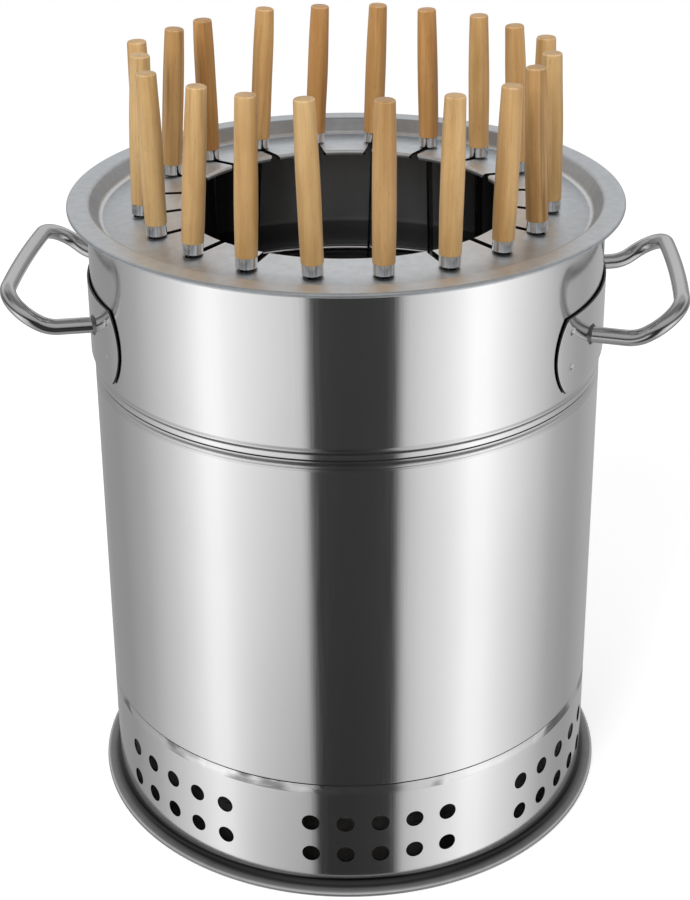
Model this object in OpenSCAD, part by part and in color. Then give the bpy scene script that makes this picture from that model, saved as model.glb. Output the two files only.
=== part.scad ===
// Vertical charcoal grill: a round sheet-steel barrel in three crimped sections, a slotted ring on
// its rim that holds hanging skewers, two loop handles, and the fire parts inside.
// Millimetres. The origin is the middle of the foot on the table, +Z is up, the handles lie on X.

/* [Barrel] */
// Outer diameter of the barrel
body_d = 373; // [350:1:420]
// Thickness of the barrel's sheet
sheet = 1.2; // [0.8:0.1:1.6]
// Height of the seam between the vented base and the lower shell
base_h = 90; // [86:1:120]
// Height of the lower shell from its lower seam to its upper seam
lower_h = 258; // [240:1:300]
// Height of the upper shell from its seam to the top of its rim
upper_h = 122; // [114:1:150]
// Height of the neck that a section pushes up into the next one
neck_h = 15; // [14:0.5:20]
// Height of the drawn-in shoulder below a seam
shoulder_h = 8; // [5:0.5:10]
// Step from the barrel's surface in to the edge of a shoulder
seam_step = 0.5; // [0.3:0.1:0.6]
// Radial play between a neck and the shell around it
neck_gap = 0.2; // [0.1:0.05:0.4]
// Depth of the rolled crimp that locks the upper seam
crimp_depth = 0.9; // [0.4:0.1:1.4]
// Height of the crimp's middle above its seam
crimp_z = 6.4; // [5:0.1:7]

/* [Foot and vents] */
// Radius of the concave flare between the wall and the foot
flare_r = 8; // [5:0.5:12]
// Flat width of the foot between the flare and its round edge
foot_flat = 0.8; // [0:0.1:6]
// Height of the folded hem on which the grill stands
hem_h = 3.5; // [3:0.1:5]
// Number of vent groups round the base
vent_groups = 7; // [4:1:8]
// Vents side by side in a group
vent_columns = 5; // [3:1:6]
// Rows of vents
vent_rows = 2; // [1:1:2]
// Diameter of a vent
vent_d = 12.7; // [8:0.1:15]
// Distance between neighbouring vents round the wall
vent_pitch = 25.2; // [18:0.1:26]
// Distance between the rows of vents
vent_row_pitch = 27; // [18:0.5:28]
// Height of the lowest row's centres
vent_z = 30; // [28:0.5:34]
// Turn of the first vent group from the front
vent_turn = 10.5; // [0:0.5:51]

/* [Skewer ring] */
// Overhang of the ring's flange past the barrel
rim_overhang = 13.5; // [11:0.5:20]
// Thickness of the ring's sheet
ring_sheet = 1.5; // [1:0.1:2]
// Radial play between the ring's well and the barrel
well_gap = 0.8; // [0.4:0.1:1.5]
// Depth of the slotted plate's outer edge below the flange
well_depth = 11.3; // [8:0.1:14]
// Slope of the well's wall from upright
well_slope = 35; // [0:1:45]
// Slope of the slotted plate up to the mouth
plate_slope = 4.5; // [0:0.5:8]
// Height of the turned-down lip at the flange's edge
lip_h = 3; // [2.5:0.5:6]
// Diameter of the round mouth
mouth_d = 236; // [210:1:244]
// Height of the turned-down collar round the mouth
collar_h = 3.5; // [2.5:0.5:6]
// Width of a slot
slot_w = 5; // [4:0.1:6]
// Length of a slot past the skewers' circle
slot_past = 6; // [5.5:0.5:8]
// Turn of the first slot from the front
ring_turn = 13.3; // [0:0.1:18]

/* [Skewers] */
// Number of skewers
skewer_count = 20; // [12:1:22]
// Diameter of the circle on which the skewers hang
skewer_circle_d = 294; // [286:1:300]
// Usual length of a wooden handle above its ferrule
wood_len = 105; // [90:1:140]
// Diameter of a wooden handle at its belly
wood_d = 15.9; // [15.7:0.1:19]
// Diameter of a wooden handle at its flat end
wood_end_d = 14; // [10:0.1:15]
// Rounding of the flat end's edge
wood_edge = 1.6; // [0.5:0.1:3]
// Height of the belly above the ferrule
wood_belly = 46; // [30:1:55]
// Diameter of a ferrule
ferrule_d = 14.6; // [13:0.1:15]
// Height of a ferrule
ferrule_h = 8.5; // [7:0.5:14]
// Wall of a ferrule
ferrule_wall = 0.6; // [0.4:0.1:1]
// Width of a blade
blade_w = 8; // [5:0.5:10]
// Thickness of a blade
blade_t = 2; // [1:0.1:2.5]
// Length of a blade below its ferrule
blade_len = 310; // [260:1:320]
// Length of a blade's point
blade_tip = 18; // [8:1:30]

/* [Loop handles] */
// Diameter of the handle bar
bar_d = 11.5; // [9:0.1:13]
// Height of the handle legs below the top of the barrel
handle_drop = 78; // [72:1:84]
// Distance between the two legs at the wall
leg_gap = 138; // [110:1:150]
// Distance between the grip's two corners
grip_gap = 166; // [150:1:180]
// Level reach of a leg from the barrel's surface to its knee
knee_out = 20.5; // [14:0.5:26]
// Reach of the grip from the barrel's surface
grip_out = 51.5; // [46:0.5:65]
// Rise of the grip above the legs
grip_rise = 22; // [8:1:30]
// Bend radius of a knee
knee_bend = 26; // [8:0.5:28]
// Bend radius of a grip corner
corner_bend = 24; // [12:0.5:30]
// Width of a bracket plate
bracket_w = 226; // [190:1:250]
// Height of a bracket plate
bracket_h = 55; // [48:1:58]
// Height of a bracket plate's top edge above the legs
bracket_up = 25; // [22:0.5:30]
// Thickness of a bracket plate
bracket_t = 1.2; // [0.8:0.1:2]
// Stand-off of a bracket plate from the barrel
bracket_gap = 0.9; // [0.4:0.1:1.5]

/* [Fire parts] */
// Width of the ledge that carries the fire grate
ledge_w = 12; // [8:0.5:18]
// Thickness of the fire grate
grate_t = 3; // [2:0.5:5]
// Radial play of the fire grate in the barrel
grate_gap = 2; // [1:0.5:4]
// Diameter of the charcoal basket
basket_d = 176; // [140:1:190]
// Height of the charcoal basket
basket_h = 150; // [100:1:180]
// Number of air slots round the charcoal basket
basket_slots = 16; // [10:1:20]
// Height of the floor plate above the table
floor_z = 13; // [12:0.5:14]
// Diameter of the ash pan at its rim
pan_d = 300; // [240:1:330]
// Height of the ash pan
pan_h = 22; // [14:1:30]

/* [Hidden] */
$fn = 128;
arc_steps = 8;

// Heights of the seams, the rim and the slotted plate
seam_low = base_h;
seam_high = base_h + lower_h;
barrel_top = seam_high + upper_h;
ring_top = barrel_top + ring_sheet;
plate_z = ring_top - well_depth;

// Radii of the barrel
body_r = body_d / 2;
inner_r = body_r - sheet;
neck_r = inner_r - neck_gap;
neck_bend = 3;
neck_lip = 4;
rim_bend = 2.5;

// Crimp across the neck and the shell around it
crimp_half = 2.6;
crimp_steps = 8;

// Foot: the flare's centre, the hem's inner edge and the angle where the flare meets the hem
foot_r = body_r + flare_r + foot_flat + hem_h / 2;
flare_x = body_r + flare_r;
flare_z = hem_h + flare_r;
hem_in_r = body_r + flare_r / 2;
flare_end = 180 + acos((flare_x - hem_in_r) / (flare_r + sheet));

// Ring: flange edge, outside of the well, bends and the play round the barrel's rim
rim_r = body_r + rim_overhang;
well_r = inner_r - well_gap;
mouth_r = mouth_d / 2;
lip_bend = 2;
well_bend = 3;
mouth_bend = 2.2;
slot_corner = 2;
rim_play = 1;
barrel_rim_r = rim_r - ring_sheet - rim_play;

// Ring: centres of the bends at the top and foot of the well's wall and at the mouth
wall_drop = well_depth - 2 * well_bend * (1 - sin(well_slope));
wall_run = 2 * well_bend * cos(well_slope) + wall_drop * tan(well_slope);
bend_top = [well_r - ring_sheet + well_bend, ring_top - well_bend];
bend_foot = [bend_top.x - wall_run, plate_z + well_bend];
bend_mouth_x = mouth_r + mouth_bend;
bend_mouth_z = plate_at(bend_mouth_x + mouth_bend * sin(plate_slope)) - mouth_bend * cos(plate_slope);
collar_z = bend_mouth_z + mouth_bend - collar_h;

// Skewers: each leans a little to one side and is turned a little longer or shorter, as by hand
skewer_r = skewer_circle_d / 2;
ferrule_r = ferrule_d / 2;
ferrule_edge = 1.2;
ferrule_floor = 0.8;
tang_play = 0.15;
tang_h = 2.8;
tenon_play = 0.1;
wood_step = 0.3;
wood_steps = 10;
seat_gap = 0.2;
lean_deg = [0.3, 0.9, 1.6, -2.2, -1.4, -1, -3.1, -1.1, -1.5, 2.1,
            2.7, 3.5, -1.2, 3.5, -1.2, 2.1, -0.9, 3.5, 1.3, -2];
wood_extra = [3.7, 2, 0.5, 2.5, 0.7, 0.5, -1.8, -2.6, -4.1, -3.5,
              -4, -2.3, -4.2, -1.7, 0.2, 2, 1, 2.2, 3.8, 4.7];

// Bracket plates and handle bars
bar_r = bar_d / 2;
bend_lap = 0.6;
bend_swell = 0.1;
handle_z = barrel_top - handle_drop;
bracket_in_r = body_r + bracket_gap;
bracket_out_r = bracket_in_r + bracket_t;
bracket_end_r = 46;
bracket_top = handle_z + bracket_up;
weld_inset = 14;
weld_rows = [11, 37];
weld_r = 2.5;
weld_play = 0.05;
dimple_r = 5;
dimple_depth = 0.4;
fillet_leg = 3.5;

// Route of a handle bar on the +X side: leg, knee and grip corner, then the same mirrored
wall_x = sqrt(pow(bracket_out_r, 2) - pow(leg_gap / 2, 2));
grip_x = body_r + grip_out;
knee_x = body_r + knee_out;
knee_y = leg_gap / 2 + (grip_gap - leg_gap) / 2 * (knee_x - wall_x) / (grip_x - wall_x);
leg_wall = [wall_x, -leg_gap / 2, handle_z];
knee = [knee_x, -knee_y, handle_z];
corner = [grip_x, -grip_gap / 2, handle_z + grip_rise];
leg_dir = unit(knee - leg_wall);
rise_dir = unit(corner - knee);
grip_dir = [0, 1, 0];
knee_trim = knee_bend * tan(acos(leg_dir * rise_dir) / 2);
corner_half = acos(rise_dir * grip_dir) / 2;
corner_room = norm(corner - knee) - knee_trim - 1;
corner_r = min(corner_bend, corner_room / tan(corner_half));
corner_trim = corner_r * tan(corner_half);
leg_start = leg_wall - leg_dir * bar_d;

// Fire parts
ledge_z = seam_low + neck_h;
grate_r = inner_r - grate_gap;
grate_ring_pitch = 44;
grate_slot_w = 7;
grate_slot_len = 30;
basket_r = basket_d / 2;
basket_z = ledge_z + grate_t;
basket_bead = 2;
basket_slot_w = 9;
basket_slot_low = 16;
basket_slot_high = 22;
basket_hole_d = 10;
floor_flange = 6;
floor_play = 0.1;
pan_r = pan_d / 2;
pan_slope = 8;
pan_bead = 1.6;

FIXED_NODES = ["base_ring", "lower_shell", "upper_shell", "skewer_ring",
               "bracket_right", "bracket_left", "handle_right", "handle_left", "handle_welds",
               "fire_grate", "charcoal_basket", "ash_pan", "floor_plate"];

steel = [0.74, 0.75, 0.77];
satin = [0.68, 0.69, 0.71];
bright = [0.82, 0.83, 0.85];
sooty = [0.25, 0.25, 0.26];
beech = [0.78, 0.61, 0.38];

function numbered(name, i) = str(name, i < 10 ? "0" : "", i);
function unit(v) = v / norm(v);
function reversed(points) = [for (i = [len(points) - 1:-1:0]) points[i]];
function lean(i) = lean_deg[(i - 1) % len(lean_deg)];
function skewer_turn(i) = ring_turn + 360 * (i - 1) / skewer_count;
function wood_length(i) = wood_len + wood_extra[(i - 1) % len(wood_extra)];

// Height of the slotted plate's upper face at radius r
function plate_at(r) =
    let (start = bend_foot - well_bend * [sin(plate_slope), cos(plate_slope)])
    start.y + (start.x - r) * tan(plate_slope);

// Points along an arc round [x, z]
function arc(x, z, r, from, to) =
    [for (i = [0:arc_steps])
        let (a = from + (to - from) * i / arc_steps)
        [x + r * cos(a), z + r * sin(a)]];

// Points up across a rolled crimp in a wall of radius r, round height z
function crimp(r, z) =
    [for (i = [0:crimp_steps])
        [r - crimp_depth * (1 - cos(360 * i / crimp_steps)) / 2,
         z + crimp_half * (2 * i / crimp_steps - 1)]];

// Points over the top of a section: shoulder, neck and a lip turned in by the given width
function neck(seam, lip, crimped) =
    let (bend_x = neck_r - neck_bend)
    let (top = seam + neck_h)
    concat([[body_r, seam - shoulder_h], [body_r - seam_step, seam], [neck_r, seam]],
           crimped ? crimp(neck_r, seam + crimp_z) : [],
           arc(bend_x, top - neck_bend, neck_bend, 0, 90),
           [[neck_r - lip, top], [neck_r - lip, top - sheet]],
           arc(bend_x, top - neck_bend, neck_bend - sheet, 90, 0),
           crimped ? reversed(crimp(neck_r - sheet, seam + crimp_z)) : [],
           [[neck_r - sheet, seam], [inner_r, seam - shoulder_h]]);

// Radius of a wooden handle of a given length, u from 0 at the ferrule to 1 at the rounding of its end
function wood_r(u, length) =
    let (foot = ferrule_r + wood_step)
    let (belly = wood_belly / (length - wood_edge))
    u < belly ? foot + (wood_d / 2 - foot) * sin(90 * u / belly)
              : wood_d / 2 - (wood_d - wood_end_d) / 2 * (1 - cos(90 * (u - belly) / (1 - belly)));

// Vented base with its flared foot and the ledge for the grate
module base_ring() {
    color(steel)
    difference() {
        rotate_extrude()
            polygon(concat([[hem_in_r, 0]],
                           arc(foot_r - hem_h / 2, hem_h / 2, hem_h / 2, -90, 90),
                           arc(flare_x, flare_z, flare_r, 270, 180),
                           neck(seam_low, ledge_w, false),
                           arc(flare_x, flare_z, flare_r + sheet, 180, flare_end)));
        vents();
    }
}

// Every vent of the base, as radial drillings
module vents() {
    step = vent_pitch / body_r * 180 / PI;
    for (group = [0:vent_groups - 1], column = [0:vent_columns - 1], row = [0:vent_rows - 1])
        rotate([0, 0, vent_turn - 90 + 360 * group / vent_groups + step * (column - (vent_columns - 1) / 2)])
            translate([inner_r - sheet * 3, 0, vent_z + vent_row_pitch * row])
                rotate([0, 90, 0])
                    cylinder(d = vent_d, h = sheet * 7);
}

// Plain sleeve between the two seams
module lower_shell() {
    color(steel)
    rotate_extrude()
        polygon(concat([[inner_r, seam_low], [body_r, seam_low]],
                       neck(seam_high, neck_lip, true)));
}

// Sleeve above the upper seam, crimped to the neck inside it, with the rim turned out at the top
module upper_shell() {
    bend_z = barrel_top - sheet - rim_bend;
    color(steel)
    rotate_extrude()
        polygon(concat([[inner_r, seam_high], [body_r, seam_high]],
                       crimp(body_r, seam_high + crimp_z),
                       arc(body_r + rim_bend, bend_z, rim_bend, 180, 90),
                       [[barrel_rim_r, barrel_top - sheet], [barrel_rim_r, barrel_top]],
                       arc(body_r + rim_bend, bend_z, rim_bend + sheet, 90, 180),
                       reversed(crimp(inner_r, seam_high + crimp_z))));
}

// Pressed ring: lip, flange, well, slotted plate and collar round the mouth
module skewer_ring() {
    color(satin)
    difference() {
        rotate_extrude()
            polygon(concat(ring_top_face(), ring_under_face()));
        for (i = [1:skewer_count])
            rotate([0, 0, skewer_turn(i) - 90])
                translate([0, 0, plate_z - collar_h - 1])
                    linear_extrude(well_depth + collar_h + 2)
                        slot_outline();
    }
}

// Upper face of the ring's section, from the lip's edge in to the mouth
function ring_top_face() =
    concat([[rim_r, ring_top - lip_h]],
           arc(rim_r - lip_bend, ring_top - lip_bend, lip_bend, 0, 90),
           arc(bend_top.x, bend_top.y, well_bend, 90, 180 - well_slope),
           arc(bend_foot.x, bend_foot.y, well_bend, -well_slope, -90 - plate_slope),
           arc(bend_mouth_x, bend_mouth_z, mouth_bend, 90 - plate_slope, 180),
           [[mouth_r, collar_z]]);

// Lower face of the ring's section, from the mouth back out to the lip
function ring_under_face() =
    concat([[mouth_r + ring_sheet, collar_z]],
           arc(bend_mouth_x, bend_mouth_z, mouth_bend - ring_sheet, 180, 90 - plate_slope),
           arc(bend_foot.x, bend_foot.y, well_bend + ring_sheet, -90 - plate_slope, -well_slope),
           arc(bend_top.x, bend_top.y, well_bend - ring_sheet, 180 - well_slope, 90),
           arc(rim_r - lip_bend, ring_top - lip_bend, lip_bend - ring_sheet, 90, 0),
           [[rim_r - ring_sheet, ring_top - lip_h]]);

// One slot along +X, open to the mouth with rounded corners
module slot_outline() {
    end_x = skewer_r + slot_past - slot_w / 2;
    start_x = mouth_r - 2 * slot_corner;
    edge_x = sqrt(pow(mouth_r, 2) - pow(slot_w / 2 + slot_corner, 2));
    translate([start_x, -slot_w / 2])
        square([end_x - start_x, slot_w]);
    translate([end_x, 0])
        circle(d = slot_w);
    for (side = [0, 1])
        mirror([0, side])
            difference() {
                translate([start_x, 0])
                    square([edge_x + slot_corner - start_x, slot_w / 2 + slot_corner]);
                translate([edge_x + slot_corner, slot_w / 2 + slot_corner])
                    circle(r = slot_corner);
            }
}

// Curved bracket plate on the +X side, on projection welds
module bracket() {
    difference() {
        union() {
            intersection() {
                rotate_extrude()
                    translate([bracket_in_r, bracket_top - bracket_h])
                        square([bracket_t, bracket_h]);
                rotate([90, 0, 90])
                    linear_extrude(bracket_out_r + 1)
                        bracket_outline();
            }
            at_welds()
                cylinder(r = weld_r, h = bracket_gap + bracket_t / 2 - weld_play);
        }
        at_welds()
            translate([0, 0, bracket_gap + bracket_t - weld_play + dimple_r - dimple_depth])
                sphere(r = dimple_r);
    }
}

// Strip with bowed ends, Y across and Z up
module bracket_outline() {
    low = bracket_top - bracket_h;
    middle = bracket_w / 2 - bracket_end_r;
    intersection() {
        translate([-bracket_w / 2, low])
            square([bracket_w, bracket_h]);
        union() {
            translate([-middle, low])
                square([2 * middle, bracket_h]);
            for (side = [-1, 1])
                translate([side * middle, low + bracket_h / 2])
                    circle(r = bracket_end_r);
        }
    }
}

// Places its children on the barrel's surface at every projection weld, pointing out
module at_welds() {
    turn = asin((bracket_w / 2 - weld_inset) / bracket_in_r);
    for (side = [-1, 1], row = weld_rows)
        rotate([0, 0, side * turn])
            translate([body_r + weld_play, 0, bracket_top - row])
                rotate([0, 90, 0])
                    children();
}

module bracket_right() {
    color(steel) bracket();
}

module bracket_left() {
    color(steel) rotate([0, 0, 180]) bracket();
}

// Straight bar between two points, run a little way on into the bends at its ends
module bar(from, to) {
    run = to - from;
    translate(from - unit(run) * bend_lap)
        rotate([0, acos(run.z / norm(run)), atan2(run.y, run.x)])
            rotate([0, 0, 45])
                cylinder(r = bar_r, h = norm(run) + 2 * bend_lap);
}

// Bend at a corner point, from direction u into direction w
module elbow(at, u, w, bend) {
    side = unit(w - u * (u * w));
    axis = cross(u, side);
    centre = at - u * bend * tan(acos(u * w) / 2) + side * bend;
    multmatrix([[-side.x, u.x, axis.x, centre.x],
                [-side.y, u.y, axis.y, centre.y],
                [-side.z, u.z, axis.z, centre.z],
                [0, 0, 0, 1]])
        rotate_extrude(angle = acos(u * w))
            translate([bend, 0])
                circle(r = bar_r + bend_swell);
}

// Leg, knee, rise and corner of one half of a loop handle
module half_loop() {
    bar(leg_start, knee - leg_dir * knee_trim);
    elbow(knee, leg_dir, rise_dir, knee_bend);
    bar(knee + rise_dir * knee_trim, corner - rise_dir * corner_trim);
    elbow(corner, rise_dir, grip_dir, corner_r);
}

// Loop handle on the +X side, its legs cut to the bracket plate's curve
module loop_handle() {
    grip_end = [corner.x, corner.y + corner_trim, corner.z];
    difference() {
        union() {
            for (side = [0, 1])
                mirror([0, side, 0])
                    half_loop();
            bar(grip_end, [grip_end.x, -grip_end.y, grip_end.z]);
        }
        barrel_cut(weld_play);
    }
}

// Everything inside the bracket plates' outer face
module barrel_cut(play) {
    translate([0, 0, bracket_top - bracket_h])
        cylinder(r = bracket_out_r + play, h = bracket_h, $fn = 720);
}

module handle_right() {
    color(steel) loop_handle();
}

module handle_left() {
    color(steel) rotate([0, 0, 180]) loop_handle();
}

// Weld fillets round the four legs
module handle_welds() {
    color(satin)
    for (turn = [0, 180], side = [0, 1])
        rotate([0, 0, turn])
            mirror([0, side, 0])
                weld_fillet();
}

// One fillet: a cone round the leg, cut to the plate
module weld_fillet() {
    hole_r = bar_r + weld_play;
    difference() {
        translate(leg_wall)
            rotate([0, 90, atan2(leg_dir.y, leg_dir.x)])
                rotate_extrude()
                    polygon([[hole_r, -bar_r], [bar_r + fillet_leg, -bar_r], [bar_r + fillet_leg, 0],
                             [hole_r + weld_play, fillet_leg], [hole_r, fillet_leg]]);
        barrel_cut(weld_play);
    }
}

// Slotted disc on the base's ledge
module fire_grate() {
    rings = floor((grate_r - grate_slot_len / 2 - ledge_w) / grate_ring_pitch);
    color(sooty)
    translate([0, 0, ledge_z])
        difference() {
            cylinder(r = grate_r, h = grate_t);
            for (ring = [1:rings])
                for (i = [1:8 * ring])
                    rotate([0, 0, 360 * i / (8 * ring)])
                        translate([ring * grate_ring_pitch - grate_slot_len / 2, 0, -1])
                            linear_extrude(grate_t + 2)
                                stadium(grate_slot_len, grate_slot_w);
        }
}

// Slot of a given length with round ends, along +X from its middle line
module stadium(len, wide) {
    translate([0, -wide / 2])
        square([len, wide]);
    for (x = [0, len])
        translate([x, 0])
            circle(d = wide);
}

// Open basket for the charcoal, with air slots in its wall and holes in its floor
module charcoal_basket() {
    slot_len = basket_h - basket_slot_low - basket_slot_high - basket_slot_w;
    color(sooty)
    translate([0, 0, basket_z])
        difference() {
            rotate_extrude() {
                square([basket_r, sheet]);
                translate([basket_r - sheet, 0])
                    square([sheet, basket_h - basket_bead]);
                translate([basket_r, basket_h - basket_bead])
                    circle(r = basket_bead);
            }
            for (i = [1:basket_slots])
                rotate([0, 0, 360 * i / basket_slots])
                    translate([basket_r - sheet * 2, 0, basket_slot_low + basket_slot_w / 2])
                        rotate([0, -90, 180])
                            linear_extrude(sheet * 4)
                                stadium(slot_len, basket_slot_w);
            for (i = [1:basket_slots / 2], ring = [1, 2])
                rotate([0, 0, 720 * (i + ring / 2) / basket_slots])
                    translate([ring * basket_r / 3, 0, -1])
                        cylinder(d = basket_hole_d, h = sheet + 2);
        }
}

// Shallow round pan with a sloped wall and a beaded rim
module ash_pan() {
    color(satin)
    translate([0, 0, floor_z + sheet])
        rotate_extrude() {
            polygon([[0, 0], [pan_r - pan_slope, 0], [pan_r, pan_h - pan_bead],
                     [pan_r - sheet, pan_h - pan_bead], [pan_r - pan_slope - sheet, sheet], [0, sheet]]);
            translate([pan_r, pan_h - pan_bead])
                circle(r = pan_bead);
        }
}

// Disc that closes the base, with its flange turned down along the wall
module floor_plate() {
    edge = inner_r - floor_play;
    color(satin)
    translate([0, 0, floor_z])
        rotate_extrude()
            polygon([[0, 0], [edge - sheet, 0], [edge - sheet, sheet - floor_flange],
                     [edge, sheet - floor_flange], [edge, sheet], [0, sheet]]);
}

// Places its children where skewer i hangs: Z along the skewer, X away from the ring's middle
module at_skewer(i) {
    turn = skewer_turn(i);
    seat_z = plate_at(skewer_r - ferrule_r) + seat_gap + ferrule_r * sin(abs(lean(i)));
    translate([skewer_r * sin(turn), -skewer_r * cos(turn), seat_z])
        rotate([0, lean(i), 0])
            rotate([0, 0, turn - 90])
                children();
}

// Turned wooden handle with its tenon in the ferrule
module skewer_handle(i) {
    tenon_r = ferrule_r - ferrule_wall - tenon_play;
    side_len = wood_length(i) - wood_edge;
    color(beech)
    at_skewer(i)
        rotate_extrude()
            polygon(concat([[0, tang_h + tang_play], [tenon_r, tang_h + tang_play], [tenon_r, ferrule_h]],
                           [for (k = [0:wood_steps])
                               [wood_r(k / wood_steps, wood_length(i)), ferrule_h + side_len * k / wood_steps]],
                           arc(wood_end_d / 2 - wood_edge, ferrule_h + side_len, wood_edge, 15, 90),
                           [[0, ferrule_h + wood_length(i)]]));
}

// Ferrule cup and the flat blade whose tang comes up through its floor
module skewer_steel(i) {
    color(bright)
    at_skewer(i) {
        difference() {
            rotate_extrude()
                polygon(concat([[0, 0]],
                               arc(ferrule_r - ferrule_edge, ferrule_edge, ferrule_edge, -90, 0),
                               [[ferrule_r, ferrule_h], [ferrule_r - ferrule_wall, ferrule_h],
                                [ferrule_r - ferrule_wall, ferrule_floor], [0, ferrule_floor]]));
            cube([blade_w + 2 * tang_play, blade_t + 2 * tang_play, ferrule_h], center = true);
        }
        rotate([90, 0, 0])
            linear_extrude(blade_t, center = true)
                polygon([[-blade_w / 2, tang_h], [-blade_w / 2, blade_tip - blade_len], [0, -blade_len],
                         [blade_w / 2, blade_tip - blade_len], [blade_w / 2, tang_h]]);
    }
}

base_ring();
lower_shell();
upper_shell();
skewer_ring();
bracket_right();
bracket_left();
handle_right();
handle_left();
handle_welds();
fire_grate();
charcoal_basket();
ash_pan();
floor_plate();
for (i = [1:skewer_count]) {
    skewer_handle(i);
    skewer_steel(i);
}
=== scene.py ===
import math
import random

import bmesh
import bpy
import numpy as np
from mathutils import Matrix, Vector


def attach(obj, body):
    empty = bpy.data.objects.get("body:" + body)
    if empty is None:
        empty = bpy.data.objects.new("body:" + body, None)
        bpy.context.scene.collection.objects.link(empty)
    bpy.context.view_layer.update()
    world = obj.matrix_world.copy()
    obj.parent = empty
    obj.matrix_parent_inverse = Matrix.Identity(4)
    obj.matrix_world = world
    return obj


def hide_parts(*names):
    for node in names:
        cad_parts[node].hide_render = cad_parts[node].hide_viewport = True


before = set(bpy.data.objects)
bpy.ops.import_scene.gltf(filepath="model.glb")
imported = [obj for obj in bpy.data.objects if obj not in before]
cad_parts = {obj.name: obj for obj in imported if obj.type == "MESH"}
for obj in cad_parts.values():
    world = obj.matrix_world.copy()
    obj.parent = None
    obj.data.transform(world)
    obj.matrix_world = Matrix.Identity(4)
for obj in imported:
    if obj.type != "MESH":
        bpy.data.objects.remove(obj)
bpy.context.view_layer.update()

# Sizes in millimetres, as in the CAD model but for the crimp's depth, the foot's bend and the vents.
# Angles run from the front (-Y) towards +X.
MM = 0.001
SHEET = 1.2

# Barrel: shells and their seams, vented base and foot
BODY_R, INNER_R, NECK_R = 186.5, 185.3, 185.1
SEAM_LOW, SEAM_HIGH, BARREL_TOP = 90.0, 348.0, 470.0
SHOULDER_H, SHOULDER_HIGH_H, SHOULDER_LEAD = 8.0, 5.0, 3.0
SEAM_STEP, STEP_EASE, STEP_UNDER, LIP_FROM = 0.5, 0.5, 0.2, 0.5
ROLL_DEPTH, ROLL_H, ROLL_BELOW, ROLL_STEPS = 0.07, 1.2, 1.3, 8
NECK_H, NECK_BEND, NECK_LIP, NECK_CURL, LEDGE_W = 15.0, 3.0, 4.0, 3.0, 12.0
CRIMP_DEPTH, CRIMP_Z, CRIMP_HALF = 0.32, 6.4, 2.6
# The last three are heights of painted shade lines: at a sleeve's lower edge, under the upper seam and under
# the lower seam.
CUT_R, CUT_RISE, CUT_END, EDGE_SHADE_H, HIGH_LINE_H, LOW_LINE_H = 0.7, 0.8, 1.6, 0.75, 0.5, 0.6
FLARE_R, FOOT_FLAT, HEM_H = 6.0, 2.8, 3.5
FOOT_R = BODY_R + FLARE_R + FOOT_FLAT + HEM_H / 2
VENT_GROUPS, VENT_COLUMNS, VENT_ROWS = 7, 5, 2
VENT_D, VENT_PITCH, VENT_ROW_PITCH, VENT_Z, VENT_TURN = 13.0, 25.2, 27.0, 30.0, 10.5

# Skewer ring
RING_TOP, RING_SHEET, PLATE_Z, WELL_SLOPE, PLATE_SLOPE = 471.5, 1.5, 460.2, 35.0, 4.5
RIM_R, RIM_BEND, BARREL_RIM_R, WELL_R, MOUTH_R = 200.0, 2.5, 197.5, 184.5, 118.0
LIP_H, LIP_BEND, WELL_BEND, MOUTH_BEND, COLLAR_H = 3.0, 2.0, 3.0, 2.2, 3.5
SLOT_W, SLOT_END_R, SLOT_CORNER, LIP_EDGE, LIP_EDGE_H = 5.0, 153.0, 2.0, 0.25, 0.3

# Skewers, each with its own lean in degrees and its own length
SKEWERS, SKEWER_R, RING_TURN = 20, 147.0, 13.3
LEAN = [0.3, 0.9, 1.6, -2.2, -1.4, -1, -3.1, -1.1, -1.5, 2.1,
        2.7, 3.5, -1.2, 3.5, -1.2, 2.1, -0.9, 3.5, 1.3, -2]
WOOD_LEN, WOOD_D, WOOD_END_D, WOOD_EDGE, WOOD_BELLY = 105.0, 15.9, 14.0, 1.6, 46.0
WOOD_EXTRA = [3.7, 2, 0.5, 2.5, 0.7, 0.5, -1.8, -2.6, -4.1, -3.5,
              -4, -2.3, -4.2, -1.7, 0.2, 2, 1, 2.2, 3.8, 4.7]
FERRULE_R, FERRULE_H, FERRULE_WALL, FERRULE_EDGE = 7.3, 8.5, 0.6, 1.2
BLADE_W, BLADE_T, BLADE_LEN, BLADE_TIP, TANG_H = 8.0, 2.0, 310.0, 18.0, 2.8
BLADE_EDGE, BLADE_HALFWAY, BLADE_POINT = 0.4, 0.52, 0.03
WOOD_STEP, SEAT_GAP, TANG_GAP, TENON_GAP, END_DISC_R, CUP_FLOOR = 0.3, 0.2, 0.15, 0.1, 2.5, 0.8
WOOD_ROWS, ROUND_STEPS, WAVES, WAVE_SEED, GRAIN_SEED = 36, 48, 5, 100, 300
WAVE_FROM, WAVE_RISE, WAVE_R = 2.0, 6.0, 8.0
WOOD_LIGHT, WOOD_DARK = (0.575, 0.373, 0.166), (0.40, 0.226, 0.079)
# The last two paint shade on the handles at the back: a deeper, more orange wood.
TONE_SPREAD, RED_SPREAD, BACK_SHADE_TONE, BACK_SHADE_RED = 0.04, 0.02, 0.02, 0.11

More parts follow.
